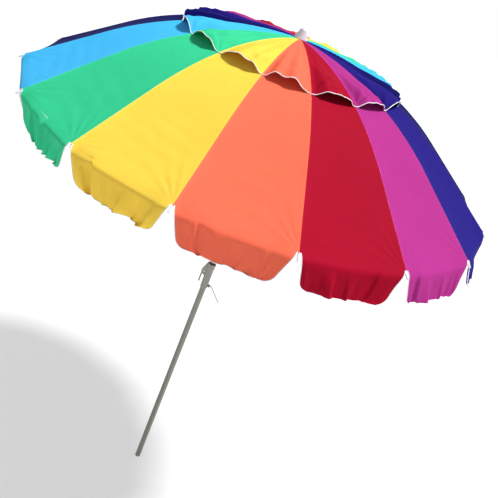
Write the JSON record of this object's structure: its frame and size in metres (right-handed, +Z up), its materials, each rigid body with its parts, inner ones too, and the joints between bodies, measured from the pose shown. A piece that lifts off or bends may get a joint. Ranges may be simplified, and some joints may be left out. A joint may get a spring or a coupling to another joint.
{
  "type": "beach umbrella",
  "caption": "Upright beach umbrella with a vented cap, hanging flaps, folding ribs and stretchers, a tilt joint and a telescoping pole with a lever clamp",
  "frame": {"origin": "on the pole's axis, at its square-cut lower end", "axes": "+Z up along the pole to the finial, -Y the front, +X to the front's right, the clamp lever on -X"},
  "size_m": [2.2174, 2.2174, 2.766],
  "materials": {
    "rib_rod": "satin",
    "stretcher_steel": "satin",
    "pole_lower": "satin",
    "pole_upper": "satin",
    "black_plastic": "satin",
    "collar_plastic": "satin",
    "bright_steel": "satin",
    "white_plastic": "satin",
    "finial_plastic": "satin",
    "fabric_sky": "matte",
    "fabric_green": "matte",
    "fabric_yellow": "matte",
    "fabric_orange": "matte",
    "fabric_red": "matte",
    "fabric_magenta": "matte",
    "fabric_violet": "matte",
    "fabric_navy": "matte"
  },
  "bodies": {
    "ground_pole": {"lower_pole": "pole_lower", "end_plug": "black_plastic", "clamp_collar": "collar_plastic", "lever_pin": "bright_steel"},
    "lever": {"clamp_lever": "collar_plastic"},
    "lock": {"locking_rod": "bright_steel"},
    "mast": {"middle_pole": "pole_upper", "pole_bushing": "white_plastic", "tilt_socket": "black_plastic", "tilt_pin": "bright_steel", "tilt_button_spring": "bright_steel"},
    "button": {"tilt_button": "white_plastic"},
    "head": {"tilt_fork": "black_plastic", "upper_pole": "pole_upper", "hub": "white_plastic", "hub_wire": "bright_steel", "finial": "finial_plastic", "canopy_sky": "fabric_sky", "canopy_green": "fabric_green", "canopy_yellow": "fabric_yellow", "canopy_orange": "fabric_orange", "canopy_red": "fabric_red", "canopy_magenta": "fabric_magenta", "canopy_violet": "fabric_violet", "canopy_navy": "fabric_navy"},
    "catch": {"runner_catch": "bright_steel"},
    "runner": {"runner": "white_plastic", "runner_wire": "bright_steel"},
    "rib_body_01": {"rib_01": "rib_rod"},
    "stretcher_body_01": {"stretcher_01": "stretcher_steel"},
    "rib_body_02": {"rib_02": "rib_rod"},
    "stretcher_body_02": {"stretcher_02": "stretcher_steel"},
    "rib_body_03": {"rib_03": "rib_rod"},
    "stretcher_body_03": {"stretcher_03": "stretcher_steel"},
    "rib_body_04": {"rib_04": "rib_rod"},
    "stretcher_body_04": {"stretcher_04": "stretcher_steel"},
    "rib_body_05": {"rib_05": "rib_rod"},
    "stretcher_body_05": {"stretcher_05": "stretcher_steel"},
    "rib_body_06": {"rib_06": "rib_rod"},
    "stretcher_body_06": {"stretcher_06": "stretcher_steel"},
    "rib_body_07": {"rib_07": "rib_rod"},
    "stretcher_body_07": {"stretcher_07": "stretcher_steel"},
    "rib_body_08": {"rib_08": "rib_rod"},
    "stretcher_body_08": {"stretcher_08": "stretcher_steel"},
    "rib_body_09": {"rib_09": "rib_rod"},
    "stretcher_body_09": {"stretcher_09": "stretcher_steel"},
    "rib_body_10": {"rib_10": "rib_rod"},
    "stretcher_body_10": {"stretcher_10": "stretcher_steel"},
    "rib_body_11": {"rib_11": "rib_rod"},
    "stretcher_body_11": {"stretcher_11": "stretcher_steel"},
    "rib_body_12": {"rib_12": "rib_rod"},
    "stretcher_body_12": {"stretcher_12": "stretcher_steel"},
    "rib_body_13": {"rib_13": "rib_rod"},
    "stretcher_body_13": {"stretcher_13": "stretcher_steel"},
    "rib_body_14": {"rib_14": "rib_rod"},
    "stretcher_body_14": {"stretcher_14": "stretcher_steel"},
    "rib_body_15": {"rib_15": "rib_rod"},
    "stretcher_body_15": {"stretcher_15": "stretcher_steel"},
    "rib_body_16": {"rib_16": "rib_rod"},
    "stretcher_body_16": {"stretcher_16": "stretcher_steel"}
  },
  "joints": [
    {"name": "telescope", "type": "slide", "parent": "ground_pole", "child": "mast", "axis": [0, 0, 1], "range_m": [0, 0.25]},
    {"name": "clamp_lever_swing", "type": "hinge", "parent": "ground_pole", "child": "lever", "pos_m": [-0.026, 0, 1.45], "axis": [0, 1, 0], "range_deg": [0, 100]},
    {"name": "locking_rod_turn", "type": "hinge", "parent": "ground_pole", "child": "lock", "pos_m": [0.025, 0, 1.367], "axis": [1, 0, 0], "range_deg": [0, 180]},
    {"name": "tilt", "type": "hinge", "parent": "mast", "child": "head", "pos_m": [0, 0, 1.58], "axis": [0, 1, 0], "range_deg": [0, 35]},
    {"name": "tilt_button_press", "type": "slide", "parent": "mast", "child": "button", "axis": [1, 0, 0], "range_m": [0, 0.003], "stiffness_N_per_m": 600, "springref_m": -0.001, "deforming": ["tilt_button_spring"]},
    {"name": "catch_press", "type": "slide", "parent": "head", "child": "catch", "axis": [-0.0305, 0.9995, 0], "range_m": [0, 0.0042], "stiffness_N_per_m": 500, "springref_m": -0.001},
    {"name": "runner_slide", "type": "slide", "parent": "head", "child": "runner", "axis": [0, 0, -1], "range_m": [0, 0.54842], "deforming": ["canopy_sky", "canopy_green", "canopy_yellow", "canopy_orange", "canopy_red", "canopy_magenta", "canopy_violet", "canopy_navy"]},
    {"name": "rib_fold_01", "type": "hinge", "parent": "head", "child": "rib_body_01", "pos_m": [0.02338, 0.0054, 2.7128], "axis": [-0.225, 0.9744, 0], "range_deg": [0, 62.1]},
    {"name": "stretcher_fold_01", "type": "hinge", "parent": "runner", "child": "stretcher_body_01", "pos_m": [0.02338, 0.0054, 2.32819], "axis": [-0.225, 0.9744, 0], "range_deg": [-41.26, 0]},
    {"name": "rib_fold_02", "type": "hinge", "parent": "head", "child": "rib_body_02", "pos_m": [0.01954, 0.01394, 2.7128], "axis": [-0.5807, 0.8141, 0], "range_deg": [0, 62.1]},
    {"name": "stretcher_fold_02", "type": "hinge", "parent": "runner", "child": "stretcher_body_02", "pos_m": [0.01954, 0.01394, 2.32819], "axis": [-0.5807, 0.8141, 0], "range_deg": [-41.26, 0]},
    {"name": "rib_fold_03", "type": "hinge", "parent": "head", "child": "rib_body_03", "pos_m": [0.01272, 0.02035, 2.7128], "axis": [-0.848, 0.5299, 0], "range_deg": [0, 62.1]},
    {"name": "stretcher_fold_03", "type": "hinge", "parent": "runner", "child": "stretcher_body_03", "pos_m": [0.01272, 0.02035, 2.32819], "axis": [-0.848, 0.5299, 0], "range_deg": [-41.26, 0]},
    {"name": "rib_fold_04", "type": "hinge", "parent": "head", "child": "rib_body_04", "pos_m": [0.00396, 0.02367, 2.7128], "axis": [-0.9863, 0.165, 0], "range_deg": [0, 62.1]},
    {"name": "stretcher_fold_04", "type": "hinge", "parent": "runner", "child": "stretcher_body_04", "pos_m": [0.00396, 0.02367, 2.32819], "axis": [-0.9863, 0.165, 0], "range_deg": [-41.26, 0]},
    {"name": "rib_fold_05", "type": "hinge", "parent": "head", "child": "rib_body_05", "pos_m": [-0.0054, 0.02338, 2.7128], "axis": [-0.9744, -0.225, 0], "range_deg": [0, 62.1]},
    {"name": "stretcher_fold_05", "type": "hinge", "parent": "runner", "child": "stretcher_body_05", "pos_m": [-0.0054, 0.02338, 2.32819], "axis": [-0.9744, -0.225, 0], "range_deg": [-41.26, 0]},
    {"name": "rib_fold_06", "type": "hinge", "parent": "head", "child": "rib_body_06", "pos_m": [-0.01394, 0.01954, 2.7128], "axis": [-0.8141, -0.5807, 0], "range_deg": [0, 62.1]},
    {"name": "stretcher_fold_06", "type": "hinge", "parent": "runner", "child": "stretcher_body_06", "pos_m": [-0.01394, 0.01954, 2.32819], "axis": [-0.8141, -0.5807, 0], "range_deg": [-41.26, 0]},
    {"name": "rib_fold_07", "type": "hinge", "parent": "head", "child": "rib_body_07", "pos_m": [-0.02035, 0.01272, 2.7128], "axis": [-0.5299, -0.848, 0], "range_deg": [0, 62.1]},
    {"name": "stretcher_fold_07", "type": "hinge", "parent": "runner", "child": "stretcher_body_07", "pos_m": [-0.02035, 0.01272, 2.32819], "axis": [-0.5299, -0.848, 0], "range_deg": [-41.26, 0]},
    {"name": "rib_fold_08", "type": "hinge", "parent": "head", "child": "rib_body_08", "pos_m": [-0.02367, 0.00396, 2.7128], "axis": [-0.165, -0.9863, 0], "range_deg": [0, 62.1]},
    {"name": "stretcher_fold_08", "type": "hinge", "parent": "runner", "child": "stretcher_body_08", "pos_m": [-0.02367, 0.00396, 2.32819], "axis": [-0.165, -0.9863, 0], "range_deg": [-41.26, 0]},
    {"name": "rib_fold_09", "type": "hinge", "parent": "head", "child": "rib_body_09", "pos_m": [-0.02338, -0.0054, 2.7128], "axis": [0.225, -0.9744, 0], "range_deg": [0, 62.1]},
    {"name": "stretcher_fold_09", "type": "hinge", "parent": "runner", "child": "stretcher_body_09", "pos_m": [-0.02338, -0.0054, 2.32819], "axis": [0.225, -0.9744, 0], "range_deg": [-41.26, 0]},
    {"name": "rib_fold_10", "type": "hinge", "parent": "head", "child": "rib_body_10", "pos_m": [-0.01954, -0.01394, 2.7128], "axis": [0.5807, -0.8141, 0], "range_deg": [0, 62.1]},
    {"name": "stretcher_fold_10", "type": "hinge", "parent": "runner", "child": "stretcher_body_10", "pos_m": [-0.01954, -0.01394, 2.32819], "axis": [0.5807, -0.8141, 0], "range_deg": [-41.26, 0]},
    {"name": "rib_fold_11", "type": "hinge", "parent": "head", "child": "rib_body_11", "pos_m": [-0.01272, -0.02035, 2.7128], "axis": [0.848, -0.5299, 0], "range_deg": [0, 62.1]},
    {"name": "stretcher_fold_11", "type": "hinge", "parent": "runner", "child": "stretcher_body_11", "pos_m": [-0.01272, -0.02035, 2.32819], "axis": [0.848, -0.5299, 0], "range_deg": [-41.26, 0]},
    {"name": "rib_fold_12", "type": "hinge", "parent": "head", "child": "rib_body_12", "pos_m": [-0.00396, -0.02367, 2.7128], "axis": [0.9863, -0.165, 0], "range_deg": [0, 62.1]},
    {"name": "stretcher_fold_12", "type": "hinge", "parent": "runner", "child": "stretcher_body_12", "pos_m": [-0.00396, -0.02367, 2.32819], "axis": [0.9863, -0.165, 0], "range_deg": [-41.26, 0]},
    {"name": "rib_fold_13", "type": "hinge", "parent": "head", "child": "rib_body_13", "pos_m": [0.0054, -0.02338, 2.7128], "axis": [0.9744, 0.225, 0], "range_deg": [0, 62.1]},
    {"name": "stretcher_fold_13", "type": "hinge", "parent": "runner", "child": "stretcher_body_13", "pos_m": [0.0054, -0.02338, 2.32819], "axis": [0.9744, 0.225, 0], "range_deg": [-41.26, 0]},
    {"name": "rib_fold_14", "type": "hinge", "parent": "head", "child": "rib_body_14", "pos_m": [0.01394, -0.01954, 2.7128], "axis": [0.8141, 0.5807, 0], "range_deg": [0, 62.1]},
    {"name": "stretcher_fold_14", "type": "hinge", "parent": "runner", "child": "stretcher_body_14", "pos_m": [0.01394, -0.01954, 2.32819], "axis": [0.8141, 0.5807, 0], "range_deg": [-41.26, 0]},
    {"name": "rib_fold_15", "type": "hinge", "parent": "head", "child": "rib_body_15", "pos_m": [0.02035, -0.01272, 2.7128], "axis": [0.5299, 0.848, 0], "range_deg": [0, 62.1]},
    {"name": "stretcher_fold_15", "type": "hinge", "parent": "runner", "child": "stretcher_body_15", "pos_m": [0.02035, -0.01272, 2.32819], "axis": [0.5299, 0.848, 0], "range_deg": [-41.26, 0]},
    {"name": "rib_fold_16", "type": "hinge", "parent": "head", "child": "rib_body_16", "pos_m": [0.02367, -0.00396, 2.7128], "axis": [0.165, 0.9863, 0], "range_deg": [0, 62.1]},
    {"name": "stretcher_fold_16", "type": "hinge", "parent": "runner", "child": "stretcher_body_16", "pos_m": [0.02367, -0.00396, 2.32819], "axis": [0.165, 0.9863, 0], "range_deg": [-41.26, 0]}
  ],
  "couplings": [
    {"joint": "rib_fold_01", "follows": "runner_slide", "rad_per_m": 1.9731},
    {"joint": "stretcher_fold_01", "follows": "runner_slide", "rad_per_m": -1.3099},
    {"joint": "rib_fold_02", "follows": "runner_slide", "rad_per_m": 1.9731},
    {"joint": "stretcher_fold_02", "follows": "runner_slide", "rad_per_m": -1.3099},
    {"joint": "rib_fold_03", "follows": "runner_slide", "rad_per_m": 1.9731},
    {"joint": "stretcher_fold_03", "follows": "runner_slide", "rad_per_m": -1.3099},
    {"joint": "rib_fold_04", "follows": "runner_slide", "rad_per_m": 1.9731},
    {"joint": "stretcher_fold_04", "follows": "runner_slide", "rad_per_m": -1.3099},
    {"joint": "rib_fold_05", "follows": "runner_slide", "rad_per_m": 1.9731},
    {"joint": "stretcher_fold_05", "follows": "runner_slide", "rad_per_m": -1.3099},
    {"joint": "rib_fold_06", "follows": "runner_slide", "rad_per_m": 1.9731},
    {"joint": "stretcher_fold_06", "follows": "runner_slide", "rad_per_m": -1.3099},
    {"joint": "rib_fold_07", "follows": "runner_slide", "rad_per_m": 1.9731},
    {"joint": "stretcher_fold_07", "follows": "runner_slide", "rad_per_m": -1.3099},
    {"joint": "rib_fold_08", "follows": "runner_slide", "rad_per_m": 1.9731},
    {"joint": "stretcher_fold_08", "follows": "runner_slide", "rad_per_m": -1.3099},
    {"joint": "rib_fold_09", "follows": "runner_slide", "rad_per_m": 1.9731},
    {"joint": "stretcher_fold_09", "follows": "runner_slide", "rad_per_m": -1.3099},
    {"joint": "rib_fold_10", "follows": "runner_slide", "rad_per_m": 1.9731},
    {"joint": "stretcher_fold_10", "follows": "runner_slide", "rad_per_m": -1.3099},
    {"joint": "rib_fold_11", "follows": "runner_slide", "rad_per_m": 1.9731},
    {"joint": "stretcher_fold_11", "follows": "runner_slide", "rad_per_m": -1.3099},
    {"joint": "rib_fold_12", "follows": "runner_slide", "rad_per_m": 1.9731},
    {"joint": "stretcher_fold_12", "follows": "runner_slide", "rad_per_m": -1.3099},
    {"joint": "rib_fold_13", "follows": "runner_slide", "rad_per_m": 1.9731},
    {"joint": "stretcher_fold_13", "follows": "runner_slide", "rad_per_m": -1.3099},
    {"joint": "rib_fold_14", "follows": "runner_slide", "rad_per_m": 1.9731},
    {"joint": "stretcher_fold_14", "follows": "runner_slide", "rad_per_m": -1.3099},
    {"joint": "rib_fold_15", "follows": "runner_slide", "rad_per_m": 1.9731},
    {"joint": "stretcher_fold_15", "follows": "runner_slide", "rad_per_m": -1.3099},
    {"joint": "rib_fold_16", "follows": "runner_slide", "rad_per_m": 1.9731},
    {"joint": "stretcher_fold_16", "follows": "runner_slide", "rad_per_m": -1.3099}
  ]
}
